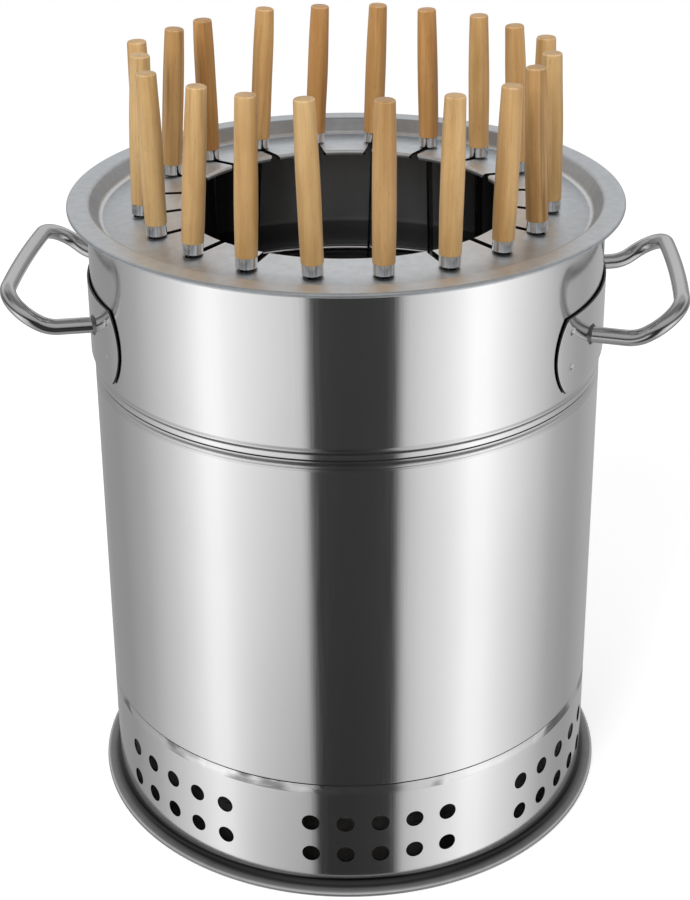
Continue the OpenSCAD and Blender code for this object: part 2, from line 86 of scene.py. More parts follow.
# Loop handles, their brackets and welds
BAR_R, LEG_HALF, GRIP_HALF, KNEE_OUT, GRIP_OUT, GRIP_RISE = 5.75, 69.0, 83.0, 20.5, 51.5, 22.0
KNEE_BEND, CORNER_BEND, HANDLE_Z, GRIP_BOW = 26.0, 24.0, 392.0, 1.6
LEG_SINK, LEG_STRAIGHT, BAR_STEPS = 1.0, 4.0, 40
PLATE_W, PLATE_H, PLATE_TOP, PLATE_END_R = 226.0, 55.0, 417.0, 46.0
PLATE_IN_R, PLATE_OUT_R, PLATE_BEVEL = 187.4, 188.6, 0.22
THIN_FROM, THIN_FACE, THIN_EDGE = 90.0, 0.6, 0.55
DENT_INSET, DENT_ROWS, DENT_R, DENT_DEPTH = 14.0, (11.0, 37.0), 3.2, 0.45
FILLET, WELD_BITE, WELD_SINK, WELD_ROUND = 2.2 * 0.85, 0.15, 0.1, 0.8
RIPPLES = (0.05, 13), (0.25, 3)                      # height, and waves in one turn

# Floor plate, ash pan and charcoal basket
FLOOR_Z, FLOOR_FLANGE, FLOOR_BEND, FLOOR_GAP = 13.0, 6.0, 1.5, 0.1
PAN_R, PAN_H, PAN_SLOPE, PAN_BEAD = 150.0, 22.0, 8.0, 1.6
BASKET_R, BASKET_Z, BASKET_H, BASKET_BEAD = 88.0, 108.0, 150.0, 2.0
BASKET_SLOTS, BASKET_SLOT_W, BASKET_SLOT_LOW, BASKET_SLOT_HIGH = 16, 9.0, 16.0, 22.0
BASKET_MARGIN = 8.0

# Directions round a turned piece, and the material tags of sheet-metal faces
TURNS = [2 * math.pi * i / 256 for i in range(256)]
# The fourth tag is painted shade: near-black metal for seam lines and vent bores.
PLAIN, INNER, SEAM, EDGE_SHADE, FOOT = range(5)


# ---------------------------------------------------------------- meshes

def polar(r, a, z):
    return (r * math.sin(a), -r * math.cos(a), z)


def arc(x, z, r, start, end, steps=12):
    angles = [math.radians(start + (end - start) * i / steps) for i in range(steps + 1)]
    return [(x + r * math.cos(a), z + r * math.sin(a)) for a in angles]


def piece(name, verts, faces, body, nodes, slot, materials, tags, place=None, sharp=32.0):
    """One object in mesh code, in millimetres, closed and smooth, that stands for CAD nodes."""
    mesh = bpy.data.meshes.new(name)
    mesh.from_pydata([(x * MM, y * MM, z * MM) for x, y, z in verts], [], faces)
    mesh.polygons.foreach_set("material_index", tags)
    bm = bmesh.new()
    bm.from_mesh(mesh)
    bmesh.ops.remove_doubles(bm, verts=bm.verts, dist=2e-6)
    bmesh.ops.recalc_face_normals(bm, faces=bm.faces)
    bm.to_mesh(mesh)
    bm.free()
    mesh.polygons.foreach_set("use_smooth", [True] * len(mesh.polygons))
    mesh.set_sharp_from_angle(angle=math.radians(sharp))
    for material in materials:
        mesh.materials.append(material)
    obj = bpy.data.objects.new(name, mesh)
    bpy.context.scene.collection.objects.link(obj)
    if place is not None:
        obj.matrix_world = place
    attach(obj, body)
    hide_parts(*nodes)


class Mesh:
    """Vertices and faces gathered one patch at a time, each face with a material tag."""

    def __init__(self):
        self.verts, self.faces, self.tags = [], [], []

    def add(self, points):
        start = len(self.verts)
        self.verts += [tuple(p) for p in points]
        return list(range(start, len(self.verts)))

    def face(self, corners, tag=0):
        corners = list(dict.fromkeys(corners))
        if len(corners) > 2:
            self.faces.append(corners)
            self.tags.append(tag)

    def bridge(self, a, b, tag=0, closed=True):
        count = len(a)
        for j in range(count if closed else count - 1):
            k = (j + 1) % count
            self.face([a[j], a[k], b[k], b[j]], tag)

    def revolve(self, profile, tags=None, turns=TURNS, closed=True):
        rows = []
        for r, z in profile:
            if r < 1e-6:
                rows.append(self.add([(0, 0, z)]) * len(turns))
            else:
                rows.append(self.add([polar(r, a, z) for a in turns]))
        pairs = list(zip(rows, rows[1:] + rows[:1] if closed else rows[1:]))
        for k, (low, high) in enumerate(pairs):
            self.bridge(low, high, tags[k] if tags else 0)

    def sweep(self, path, radius, segments):
        path = [Vector(p) for p in path]
        tangent = (path[1] - path[0]).normalized()
        side = tangent.cross(Vector((0, 0, 1))).normalized()
        rows = []
        for i, point in enumerate(path):
            ahead = path[min(i + 1, len(path) - 1)] - path[max(i - 1, 0)]
            turn = tangent.rotation_difference(ahead.normalized())
            tangent = ahead.normalized()
            side = (turn @ side).normalized()
            up = tangent.cross(side)
            rows.append(self.add([point + radius * (math.cos(t) * side + math.sin(t) * up)
                                  for t in (2 * math.pi * j / segments for j in range(segments))]))
        for low, high in zip(rows, rows[1:]):
            self.bridge(low, high)
        self.face(rows[0])
        self.face(rows[-1])

    def make(self, name, body, nodes, slot, materials, **extra):
        piece(name, self.verts, self.faces, body, nodes, slot, materials, self.tags, **extra)


# ---------------------------------------------------------------- materials

MID = (0.3, 0.7)                                     # the part of a noise's range that shows


def feed(tree, value, socket):
    """Links another node's output to a socket, or sets a plain number or colour on it."""
    if isinstance(value, bpy.types.NodeSocket):
        tree.links.new(value, socket)
    else:
        socket.default_value = value


def feed_all(tree, made, values):
    for key, value in values.items():
        feed(tree, value, made.inputs[key])


def node(tree, kind, values=(), **props):
    made = tree.nodes.new(kind)
    for key, value in props.items():
        setattr(made, key, value)
    feed_all(tree, made, dict(values))
    return made


def calc(tree, operation, *values):
    return node(tree, "ShaderNodeMath", enumerate(values), operation=operation).outputs[0]


def remap(tree, value, start, end, low=0.0, high=1.0, **props):
    """A value carried over from one range to another."""
    values = {"Value": value, "From Min": start, "From Max": end, "To Min": low, "To Max": high}
    return node(tree, "ShaderNodeMapRange", values, **props).outputs["Result"]


def blend(tree, share, below, above):
    """One colour fading into another."""
    return node(tree, "ShaderNodeMix", {0: share, 6: below, 7: above}, data_type="RGBA").outputs[2]


def dimmed(tree, colour, share):
    return node(tree, "ShaderNodeVectorMath", {0: colour, "Scale": share}, operation="SCALE").outputs[0]


def xyz(tree, vector):
    return node(tree, "ShaderNodeSeparateXYZ", {0: vector}).outputs


def spot(tree):
    """Place on the object, in metres."""
    return node(tree, "ShaderNodeTexCoord").outputs["Object"]


def axis_distance(tree):
    """Distance of a point from the barrel's axis."""
    flat = node(tree, "ShaderNodeVectorMath", {0: spot(tree), 1: (1, 1, 0)}, operation="MULTIPLY")
    return node(tree, "ShaderNodeVectorMath", {0: flat.outputs[0]}, operation="LENGTH").outputs["Value"]


def noise(tree, stretch, detail=3.0, offset=(0, 0, 0), distort=0.0):
    mapping = node(tree, "ShaderNodeMapping", {"Vector": spot(tree), "Scale": stretch, "Location": offset})
    values = {"Vector": mapping.outputs["Vector"], "Scale": 1.0, "Detail": detail, "Distortion": distort}
    return node(tree, "ShaderNodeTexNoise", values).outputs["Fac"]


def ramp(tree, source, stops):
    """A colour by a value, from stops of position and colour."""
    made = node(tree, "ShaderNodeValToRGB", {"Fac": source})
    points = made.color_ramp.elements
    while len(points) < len(stops):
        points.new(0.5)
    for point, (position, colour) in zip(points, stops):
        point.position = position
        point.color = (*colour, 1)
    return made.outputs["Color"]


def grey(value, warm=0.0):
    return (value * (1 + warm), value, value * (1 - warm))


def material(name):
    made = bpy.data.materials.new(name)
    made.use_nodes = True
    tree = made.node_tree
    return made, tree, tree.nodes["Principled BSDF"]


def dress(tree, shader, colour, rough, relief, strength, distance, metallic=0.0):
    """Gives a shader its colour, roughness, relief and metal, from nodes or plain values."""
    bumps = node(tree, "ShaderNodeBump", {"Height": relief, "Strength": strength, "Distance": distance})
    feed_all(tree, shader, {"Base Color": colour, "Roughness": rough, "Metallic": metallic,
                            "Normal": bumps.outputs["Normal"]})


def steel(name, light, dark, rough, streaks=(700, 700, 14), strength=0.03, warm=0.0):
    """Metal with fine drawn lines, and patches that are a little duller than the rest."""
    made, tree, shader = material(name)
    lines = noise(tree, streaks)
    tone = ramp(tree, noise(tree, (9, 9, 7), 5.0), [(0.3, grey(dark, warm)), (0.7, grey(light, warm))])
    dress(tree, shader, tone, remap(tree, lines, *MID, *rough), lines, strength, 0.0002, 1.0)
    return made


def brushed(name):
    """Bright cup, drawn along its length so that light and dark streaks stand upright."""
    made, tree, shader = material(name)
    lines = noise(tree, (420, 420, 18))
    tone = ramp(tree, lines, [(0.34, grey(0.42)), (0.46, grey(0.8)), (0.56, grey(0.97)), (0.68, grey(0.6))])
    dress(tree, shader, tone, remap(tree, lines, *MID, 0.12, 0.24), lines, 0.25, 0.0003, 1.0)
    return made


def worked(name):
    """Sheet that rollers have drawn in: bright, with dented patches here and there, their relief real and
    their darker colour painted shade.
    """
    made, tree, shader = material(name)
    where = noise(tree, (17, 17, 17), 2.0, (3.3, 0.4, 0.0))
    dent_relief_and_shade = calc(tree, "MULTIPLY", remap(tree, where, 0.39, 0.54), noise(tree, (48, 48, 170)))
    # Painted shade: the dented patches are darker in colour as well as in relief.
    tone = ramp(tree, dent_relief_and_shade, [(0.2, grey(0.76)), (0.40, grey(0.36)), (0.58, grey(0.20))])
    dress(tree, shader, tone, remap(tree, where, *MID, 0.11, 0.24), dent_relief_and_shade, 0.8, 0.0014, 1.0)
    return made


def zoned(name, zones, rough, dulled=None):
    """Metal pressed round an axis: fine circles, and a tone that changes with the distance from it, used to
    paint reflections and highlights as rings.

    A zone is a distance in millimetres, a tone and its warmth. dulled gives two distances, and how
    metallic the rubbed edge beyond the second one still is.
    """
    made, tree, shader = material(name)
    reach = axis_distance(tree)
    first, last = zones[0][0], zones[-1][0]
    tone = ramp(tree, remap(tree, reach, first * MM, last * MM),
                [((r - first) / (last - first), grey(*tint)) for r, *tint in zones])
    mottle = remap(tree, noise(tree, (150, 150, 150), 5.0), *MID, 0.94, 1.05)
    circles = node(tree, "ShaderNodeTexNoise", {"W": reach, "Scale": 900.0, "Detail": 3.0},
                   noise_dimensions="1D").outputs["Fac"]
    metallic = remap(tree, reach, dulled[0] * MM, dulled[1] * MM, 1.0, dulled[2]) if dulled else 1.0
    dress(tree, shader, dimmed(tree, tone, mottle), remap(tree, circles, *MID, *rough), circles,
          0.02, 0.0002, metallic)
    return made


def banded_inside_with_shade(name, heights):
    """Inside of the sheet: its tone by height in millimetres, dark below a bright line near the top, with
    painted shade darker towards the handles.
    """
    made, tree, shader = material(name)
    x, _, z = xyz(tree, spot(tree))
    top = heights[-1][0]
    tone = ramp(tree, remap(tree, z, 0.0, top * MM),
                [(at / top, grey(value, -0.03)) for at, value in heights])
    # Painted shade: darker towards the sides, where the handles are.
    sideways = calc(tree, "DIVIDE", calc(tree, "ABSOLUTE", x), axis_distance(tree))
    shade = remap(tree, sideways, 0.22, 0.58, 1.0, 0.08)
    lines = noise(tree, (60, 60, 30))
    dress(tree, shader, dimmed(tree, tone, shade), remap(tree, lines, *MID, 0.44, 0.56), lines,
          0.05, 0.0002, 0.94)
    return made


def beech(name, seed, light, dark, streak):
    """Turned wood: long grain, short dark flecks, dark veins, a pale rim broken up by noise round the end,
    and a darker top, partly end grain and partly painted shade.
    """
    made, tree, shader = material(name)
    draw = random.Random(seed)
    offset = [draw.uniform(-5, 5) for _ in range(3)]
    middle = [(a + b) / 2 for a, b in zip(light, dark)]
    fleck = [c * 0.62 for c in dark]
    grain = noise(tree, (170, 170, 7), 6.0, offset, 0.6)
    pores = noise(tree, (1500, 1500, 110), 2.0, offset)
    veins = noise(tree, (240, 240, 5), 4.0, offset, 0.8)
    both = calc(tree, "MULTIPLY", calc(tree, "ADD", grain, noise(tree, (45, 45, 12), 3.0, offset)), 0.5)
    wood = ramp(tree, both, [(0.38, dark), (0.5, middle), (0.62, light)])
    wood = blend(tree, remap(tree, pores, 0.62, 0.74, 0.0, 0.55), wood, (*fleck, 1))
    wood = blend(tree, remap(tree, veins, 0.56, 0.68, 0.0, streak), wood, (*[c * 0.8 for c in fleck], 1))
    upward = xyz(tree, node(tree, "ShaderNodeNewGeometry").outputs["Normal"])["Z"]
    rim = ramp(tree, upward, [(0.16, grey(0)), (0.5, grey(0.36)), (0.78, grey(0.16)), (0.95, grey(0))])
    rim_breakup = remap(tree, noise(tree, (260, 260, 260), 3.0, offset), 0.42, 0.58, 0.1, 1.0)
    wood = blend(tree, calc(tree, "MULTIPLY", rim, rim_breakup), wood, (0.80, 0.66, 0.53, 1))
    # Darker top: end grain, and painted shade that tones down the light the top catches.
    wood = blend(tree, remap(tree, upward, 0.7, 0.96, 0.0, 0.2), wood, (*fleck, 1))
    feed_all(tree, shader, {"Sheen Weight": 0.25, "Sheen Roughness": 0.35})
    dress(tree, shader, wood, remap(tree, grain, *MID, 0.42, 0.6), pores, 0.12, 0.0003)
    return made


def sooty(name):
    """Sheet that the fire has blackened, with brown and blue tints left in it."""
    made, tree, shader = material(name)
    stain = noise(tree, (24, 24, 18), 8.0)
    tone = ramp(tree, stain, [(0.3, (0.09, 0.085, 0.08)), (0.45, (0.16, 0.145, 0.13)),
                              (0.58, (0.15, 0.155, 0.16)), (0.75, (0.30, 0.295, 0.29))])
    dress(tree, shader, tone, remap(tree, stain, *MID, 0.42, 0.68), noise(tree, (600, 600, 600), 4.0),
          0.2, 0.0002, 0.85)
    return made


POLISHED = steel("polished_steel_sheet", 0.80, 0.76, (0.09, 0.14))
WORKED = worked("worked_steel_seam")
ROLLED = steel("rolled_steel_seam", 0.77, 0.66, (0.12, 0.20), (22, 22, 300), 0.12)
# Painted reflection: the foot is near-black by distance from the axis, with a dark line where the flare
# leaves the wall and a painted highlight band on the hem's top.
FLARED = zoned("flared_steel_foot",
               [(186.45, 0.76), (186.52, 0.22), (186.6, 0.06), (187.4, 0.05), (188.6, 0.07), (190.0, 0.11),
                (191.5, 0.16), (193.0, 0.20), (194.8, 0.24), (195.6, 0.40), (196.0, 0.56), (196.6, 0.50),
                (197.1, 0.20)],
               (0.20, 0.26), (190.0, 192.0, 0.55))
# Tone by height: dark up to 375 mm, a bright line at 384 mm, lighter above.
INSIDE = banded_inside_with_shade("inside_steel_sheet",
                [(0, 0.34), (375, 0.32), (382, 0.40), (384, 1.0), (386.5, 0.80), (470, 0.84)])
# Painted reflection and highlight: the plate darkens outward from the mouth, a bright ring lies on the well's
# foot bend and the well wall above it is darker.
SATIN = zoned("satin_steel_ring",
              [(116.0, 0.96, -0.04), (145.0, 0.92, -0.045), (158.0, 0.76, -0.04), (172.0, 0.69, -0.035),
               (174.6, 0.67, -0.05), (175.8, 0.99, -0.03), (177.2, 0.99, -0.03), (178.4, 0.60, -0.07),
               (183.0, 0.60, -0.07), (186.0, 0.76, -0.035), (201.0, 0.76, -0.035)],
              (0.40, 0.47))
BARS = steel("polished_steel_bar", 0.64, 0.60, (0.15, 0.19), (60, 60, 60), 0.01)
# Painted shade: near-black metal for seam lines, vent bores, slot walls, the bracket's gap and the ferrules'
# contact shadow.
SHADE_EDGES = steel("painted_shade_edge", 0.10, 0.05, (0.35, 0.5), (300, 300, 300), 0.05)
WELDS = steel("weld_metal", 0.26, 0.12, (0.34, 0.50), (260, 260, 260), 0.08, 0.03)
CUPS = brushed("brushed_steel_cup")
BLADES = steel("blade_steel", 0.66, 0.56, (0.18, 0.28), (900, 900, 10), 0.05)
TRAYS = steel("tray_steel", 0.68, 0.56, (0.28, 0.42), (80, 80, 80), 0.05, 0.02)
SOOTY = sooty("sooty_steel")


# ---------------------------------------------------------------- camera

camera = bpy.data.objects.new("camera", bpy.data.cameras.new("camera"))
bpy.context.scene.collection.objects.link(camera)
camera.data.sensor_width = 36.0
camera.data.lens = 72.99
camera.data.shift_y = -120 / 900
camera.data.clip_start, camera.data.clip_end = 0.05, 50.0
camera.matrix_world = (Matrix.Translation((0.08353, -1.2463, 0.8949))
                       @ Matrix.Rotation(math.radians(3.9), 4, "Z")
                       @ Matrix.Rotation(math.radians(66.90), 4, "X")
                       @ Matrix.Rotation(math.radians(-0.436), 4, "Z"))
bpy.context.scene.camera = camera


# ---------------------------------------------------------------- barrel

def crimp(r, z, steps=24):
    """Shallow groove rolled into a wall."""
    return [(r - CRIMP_DEPTH * (1 - math.cos(2 * math.pi * i / steps)) / 2,
             z + CRIMP_HALF * (2 * i / steps - 1)) for i in range(steps + 1)]


def shoulder(seam):
    """Drawn-in band below a seam; the upper one has the fine line that a roller leaves at its lower edge."""
    high = seam == SEAM_HIGH
    tall = SHOULDER_HIGH_H if high else SHOULDER_H
    low = seam - tall
    roll = [(BODY_R - ROLL_DEPTH * math.sin(math.pi * t) ** 2, low - ROLL_BELOW + ROLL_H * t)
            for t in (i / ROLL_STEPS for i in range(ROLL_STEPS + 1))]
    eased = [(t * t * (3 - 2 * t), t) for t in (i / 10 for i in range(1, 11))]
    return ([(BODY_R, low - SHOULDER_LEAD)] + (roll if high else [(BODY_R, low)])
            + [(BODY_R - SEAM_STEP * deep, low + (tall - STEP_EASE) * t) for deep, t in eased]
            + [(BODY_R - SEAM_STEP - STEP_UNDER, seam)])


def curl(lip, top, r):
    """Free edge of a neck's lip, rolled down."""
    return arc(NECK_R - lip, top - NECK_CURL, r, 90, 200, 12)


def neck_outside(seam, lip, crimped):
    top = seam + NECK_H
    bend_x = NECK_R - NECK_BEND
    return (shoulder(seam) + [(NECK_R, seam)] + (crimp(NECK_R, seam + CRIMP_Z) if crimped else [])
            + arc(bend_x, top - NECK_BEND, NECK_BEND, 0, 90)
            + (curl(lip, top, NECK_CURL) if crimped else [(NECK_R - lip, top)]))


def neck_inside(seam, lip, crimped):
    top = seam + NECK_H
    bend_x = NECK_R - NECK_BEND
    return ((curl(lip, top, NECK_CURL - SHEET)[::-1] if crimped else [(NECK_R - lip, top - SHEET)])
            + arc(bend_x, top - NECK_BEND, NECK_BEND - SHEET, 90, 0)
            + (crimp(NECK_R - SHEET, seam + CRIMP_Z)[::-1] if crimped else [])
            + [(NECK_R - SHEET, seam), (INNER_R, seam - SHOULDER_H)])


def sheet_edge(z):
    """Lower edge of a sleeve, turned in a little as it was cut."""
    return [(INNER_R, z)] + arc(BODY_R - CUT_R, z + CUT_RISE, CUT_R, -80, 0, 6) + [(BODY_R, z + CUT_END)]


def seam_tags(profile, low, high):
    """Painted shade as a dark line round the lower edge and in the upper seam, rolled metal at the neck's lip
    and between two heights, or else polished."""
    tags = []
    for a, b in zip(profile, profile[1:]):
        middle = (a[1] + b[1]) / 2
        # Painted shade: a dark line at the lower edge and just under the upper seam.
        dark = middle < profile[0][1] + EDGE_SHADE_H or SEAM_HIGH - HIGH_LINE_H < middle < SEAM_HIGH
        rolled = low < middle < high or b[0] < NECK_R - LIP_FROM
        tags.append(EDGE_SHADE if dark else SEAM if rolled else PLAIN)
    return tags


def shell(name, node_name, outside, inside, rolled):
    """Sleeve turned from its two profiles; rolled gives the heights of its rolled band."""
    mesh = Mesh()
    mesh.revolve(outside + inside, seam_tags(outside, *rolled) + [INNER] * (len(inside) + 1))
    mesh.make(name, "barrel", [node_name], "polished_steel", [POLISHED, INSIDE, ROLLED, SHADE_EDGES])


shell("lower_sleeve", "lower_shell", sheet_edge(SEAM_LOW) + neck_outside(SEAM_HIGH, NECK_LIP, True),
      neck_inside(SEAM_HIGH, NECK_LIP, True), (SEAM_HIGH - SHOULDER_H, SEAM_HIGH))

rim_z = BARREL_TOP - SHEET - RIM_BEND
crimp_z = SEAM_HIGH + CRIMP_Z
shell("upper_sleeve", "upper_shell",
      sheet_edge(SEAM_HIGH) + crimp(BODY_R, crimp_z)
      + [(BODY_R, crimp_z + CRIMP_HALF + 1), (BODY_R, rim_z - 1)]
      + arc(BODY_R + RIM_BEND, rim_z, RIM_BEND, 180, 90)
      + [(BARREL_RIM_R, BARREL_TOP - SHEET), (BARREL_RIM_R, BARREL_TOP)],
      arc(BODY_R + RIM_BEND, rim_z, RIM_BEND + SHEET, 90, 180) + crimp(INNER_R, crimp_z)[::-1],
      (crimp_z - CRIMP_HALF, crimp_z + CRIMP_HALF))


def vented_base():
    """Base sheet whose wall is laid out in cells, so that every vent is a clean round patch."""
    mesh = Mesh()
    side = 8                                         # steps along one side of a vent's cell
    column = VENT_PITCH / BODY_R
    group = 2 * math.pi / VENT_GROUPS
    blank = group - column * VENT_COLUMNS
    blank_steps = 13
    turns, cells = [], []
    for g in range(VENT_GROUPS):
        start = math.radians(VENT_TURN) + group * g - column * VENT_COLUMNS / 2
        for c in range(VENT_COLUMNS):
            cells.append((len(turns), start + column * (c + 0.5)))
            turns += [start + column * (c + i / side) for i in range(side)]
        turns += [start + column * VENT_COLUMNS + blank * i / blank_steps for i in range(blank_steps)]
    low = VENT_Z - VENT_ROW_PITCH / 2
    levels = [low + VENT_ROW_PITCH * i / side for i in range(side * VENT_ROWS + 1)]

    flare_x, flare_z = BODY_R + FLARE_R, HEM_H + FLARE_R
    hem_in = BODY_R + FLARE_R / 2 + 1
    flare_end = 180 + math.degrees(math.acos((flare_x - hem_in) / (FLARE_R + SHEET)))
    foot = ([(hem_in, 0)] + arc(FOOT_R - HEM_H / 2, HEM_H / 2, HEM_H / 2, -90, 90)
            + arc(flare_x, flare_z, FLARE_R, 270, 180, 16) + [(BODY_R, flare_z + 1)])
    back = arc(flare_x, flare_z, FLARE_R + SHEET, 180, flare_end, 16)
    outer = foot + [(BODY_R, z) for z in levels]
    inner = [(INNER_R, z) for z in levels[::-1]] + back
    profile = outer + neck_outside(SEAM_LOW, LEDGE_W, False) + neck_inside(SEAM_LOW, LEDGE_W, False) + inner
    rows = [mesh.add([polar(r, a, z) for a in turns]) for r, z in profile]
    first_out, first_in = len(foot), len(profile) - len(inner)
    last_out = first_out + len(levels) + len(shoulder(SEAM_LOW))
    count = len(turns)
    in_vents = {j for start, _ in cells for j in range(start, start + side)}

    def tag_of(k):
        z = profile[k][1]
        if k >= last_out:
            return INNER
        # Painted shade: a dark line just under the lower seam.
        if SEAM_LOW - LOW_LINE_H <= z <= SEAM_LOW:
            return EDGE_SHADE
        if SEAM_LOW - SHOULDER_H <= z < SEAM_LOW:
            return SEAM
        return FOOT if k < first_out - 1 else PLAIN

    for k in range(len(profile)):
        high = rows[(k + 1) % len(profile)]
        walled = any(first <= k < first + len(levels) - 1 for first in (first_out, first_in))
        for j in range(count):
            if not (walled and j in in_vents):
                m = (j + 1) % count
                mesh.face([rows[k][j], rows[k][m], high[m], high[j]], tag_of(k))

    # A cell's edge from its lower left, one turn, in half-cells from its middle and as steps from its corner
    along = [2 * i / side - 1 for i in range(side)]
    square = ([(t, -1) for t in along] + [(1, t) for t in along]
              + [(-t, 1) for t in along] + [(-1, -t) for t in along])
    steps = [(round((x + 1) * side / 2), round((y + 1) * side / 2)) for x, y in square]
    hole_r = VENT_D / 2
    for start, middle in cells:
        for row in range(VENT_ROWS):
            centre_z = VENT_Z + VENT_ROW_PITCH * row
            rims = []
            for tag, radius, first, way in ((PLAIN, BODY_R, first_out, 1),
                                            (INNER, INNER_R, first_in + len(levels) - 1, -1)):
                previous = [rows[first + way * (row * side + y)][(start + x) % count] for x, y in steps]
                for share in (0.3, 0.6, 0.85, 1.0):
                    points = []
                    for x, y in square:
                        reach = math.hypot(x, y)
                        px = (1 - share) * x * VENT_PITCH / 2 + share * hole_r * x / reach
                        pz = (1 - share) * y * VENT_ROW_PITCH / 2 + share * hole_r * y / reach
                        points.append(polar(radius, middle + px / BODY_R, centre_z + pz))
                    ring = mesh.add(points)
                    mesh.bridge(previous, ring, tag)
                    previous = ring
                rims.append(previous)
            # Painted shade: each vent's bore is near-black.
            mesh.bridge(*rims, EDGE_SHADE)
    mesh.make("vented_base", "barrel", ["base_ring"], "polished_steel",
              [POLISHED, INSIDE, WORKED, SHADE_EDGES, FLARED])


vented_base()


# ---------------------------------------------------------------- skewer ring

def slot_half(r):
    """Half the slot's angle at a radius; nothing past its round end."""
    end = SLOT_END_R - SLOT_W / 2
    corner = math.sqrt(MOUTH_R ** 2 - (SLOT_W / 2 + SLOT_CORNER) ** 2) + SLOT_CORNER
    if r >= SLOT_END_R:
        return 0.0
    if r > end:
        half = math.sqrt(max((SLOT_W / 2) ** 2 - (r - end) ** 2, 0))
    elif r < corner:
        half = SLOT_W / 2 + SLOT_CORNER - math.sqrt(max(SLOT_CORNER ** 2 - (corner - r) ** 2, 0))
    else:
        half = SLOT_W / 2
    return math.asin(half / r)


slope, rise = math.radians(WELL_SLOPE), math.radians(PLATE_SLOPE)
wall_drop = RING_TOP - PLATE_Z - 2 * WELL_BEND * (1 - math.sin(slope))
BEND_TOP = (WELL_R - RING_SHEET + WELL_BEND, RING_TOP - WELL_BEND)
BEND_FOOT = (BEND_TOP[0] - 2 * WELL_BEND * math.cos(slope) - wall_drop * math.tan(slope),
             PLATE_Z + WELL_BEND)


def plate_at(r):
    """Height of the slotted plate's upper face: a shallow cone up to the mouth."""
    start = BEND_FOOT[0] - WELL_BEND * math.sin(rise)
    return BEND_FOOT[1] - WELL_BEND * math.cos(rise) + (start - r) * math.tan(rise)


MOUTH_X = MOUTH_R + MOUTH_BEND
MOUTH_Z = plate_at(MOUTH_X + MOUTH_BEND * math.sin(rise)) - MOUTH_BEND * math.cos(rise)


def skewer_ring():
    """Pressed ring in half-cells between its slots, upper and lower face in step."""
    mesh = Mesh()
    # Painted shade: the slot walls take the near-black material.
    shaded_slot_wall = 2                                    # material tag
    # Radii across the plate, closest together round the ends of the slots
    plate = [170, 162, 156, SLOT_END_R + 0.01, SLOT_END_R - 0.06, SLOT_END_R - 0.25, SLOT_END_R - 0.6,
             SLOT_END_R - 1.1, SLOT_END_R - 1.75, SLOT_END_R - SLOT_W / 2, 145, 138, 131, 125, 122]
    lip_z, collar_z = RING_TOP - LIP_H, MOUTH_Z + MOUTH_BEND - COLLAR_H
    faces = []
    for thick, edge in ((0.0, LIP_EDGE), (RING_SHEET, 0.0)):
        faces.append([(RIM_R - thick - edge, lip_z), (RIM_R - thick, lip_z + LIP_EDGE_H)]
                     + arc(RIM_R - LIP_BEND, RING_TOP - LIP_BEND, LIP_BEND - thick, 0, 90, 14)
                     + arc(*BEND_TOP, WELL_BEND - thick, 90, 180 - WELL_SLOPE, 14)
                     + arc(*BEND_FOOT, WELL_BEND + thick, -WELL_SLOPE, -90 - PLATE_SLOPE, 14)
                     + [(r, plate_at(r) - thick / math.cos(rise)) for r in plate]
                     + arc(MOUTH_X, MOUTH_Z, MOUTH_BEND - thick, 90 - PLATE_SLOPE, 180, 12)
                     + [(MOUTH_R + thick, collar_z)])
    upper, lower = faces
    steps = 10
    cell = 2 * math.pi / SKEWERS
    for i in range(SKEWERS):
        middle = math.radians(RING_TURN) + cell * i
        for way in (-1, 1):
            faces = []
            for profile in (upper, lower):
                rows = []
                for r, z in profile:
                    half = slot_half(r)
                    rows.append(mesh.add([polar(r, middle + way * (half + (cell / 2 - half) * j / steps), z)
                                          for j in range(steps + 1)]))
                faces.append(rows)
            top, bottom = faces
            for k in range(len(upper) - 1):
                mesh.bridge(top[k], top[k + 1], PLAIN, closed=False)
                mesh.bridge(bottom[k], bottom[k + 1], INNER, closed=False)
                if slot_half(upper[k + 1][0]) > 0:
                    mesh.face([top[k][0], top[k + 1][0], bottom[k + 1][0], bottom[k][0]], shaded_slot_wall)
            mesh.bridge(top[0], bottom[0], PLAIN, closed=False)
            mesh.bridge(top[-1], bottom[-1], PLAIN, closed=False)
    mesh.make("top_ring", "ring", ["skewer_ring"], "satin_steel", [SATIN, INSIDE, SHADE_EDGES], sharp=40.0)


skewer_ring()


# ---------------------------------------------------------------- brackets and handles

